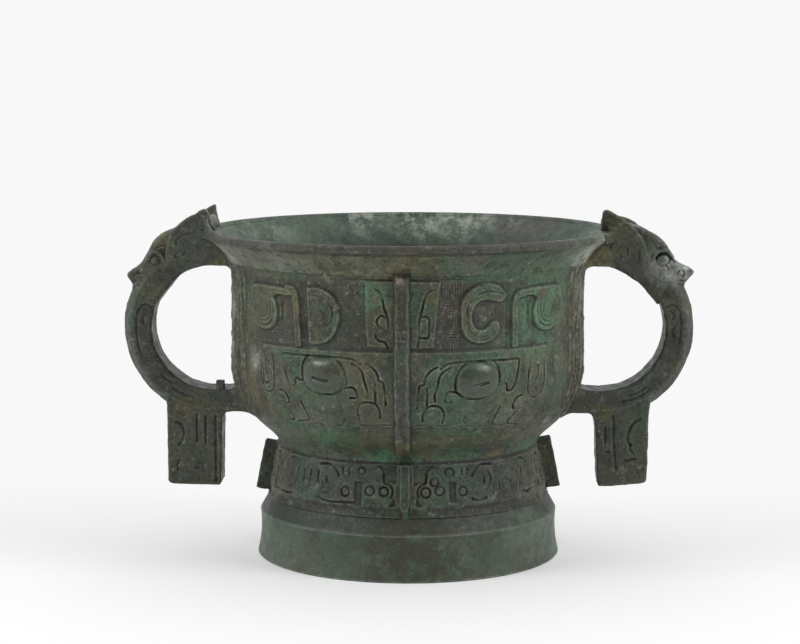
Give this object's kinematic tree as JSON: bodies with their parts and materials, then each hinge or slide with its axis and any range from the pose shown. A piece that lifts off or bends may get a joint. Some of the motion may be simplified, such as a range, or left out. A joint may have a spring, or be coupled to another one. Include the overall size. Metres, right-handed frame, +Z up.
{
  "type": "ritual gui vessel",
  "caption": "Cast bronze gui: a flared round bowl on a stepped foot, with animal-head loop handles, hanging pendants and low vertical flanges.",
  "frame": {"origin": "centre of the base ring, on the surface that the vessel stands on", "axes": "+Z up, +X out through the right-hand handle, the pictured front faces -Y"},
  "size_m": [0.2932, 0.21, 0.1788],
  "materials": {
    "bowl_bronze": "patinated",
    "foot_bronze": "patinated",
    "handle_bronze": "patinated",
    "spacer_bronze": "patinated",
    "fired_clay": "matte"
  },
  "bodies": {
    "root": {"bowl": "bowl_bronze", "foot_ring": "foot_bronze", "plinth_ring": "foot_bronze", "floor_spacer_1": "spacer_bronze", "floor_spacer_2": "spacer_bronze", "floor_spacer_3": "spacer_bronze", "floor_spacer_4": "spacer_bronze", "front_body_flange": "bowl_bronze", "back_body_flange": "bowl_bronze", "front_foot_flange": "foot_bronze", "back_foot_flange": "foot_bronze", "left_foot_flange": "foot_bronze", "right_foot_flange": "foot_bronze", "right_handle_loop": "handle_bronze", "right_handle_core": "fired_clay", "right_animal_head": "handle_bronze", "right_front_horn": "handle_bronze", "right_back_horn": "handle_bronze", "right_pendant": "handle_bronze", "left_handle_loop": "handle_bronze", "left_handle_core": "fired_clay", "left_animal_head": "handle_bronze", "left_front_horn": "handle_bronze", "left_back_horn": "handle_bronze", "left_pendant": "handle_bronze"}
  },
  "joints": []
}
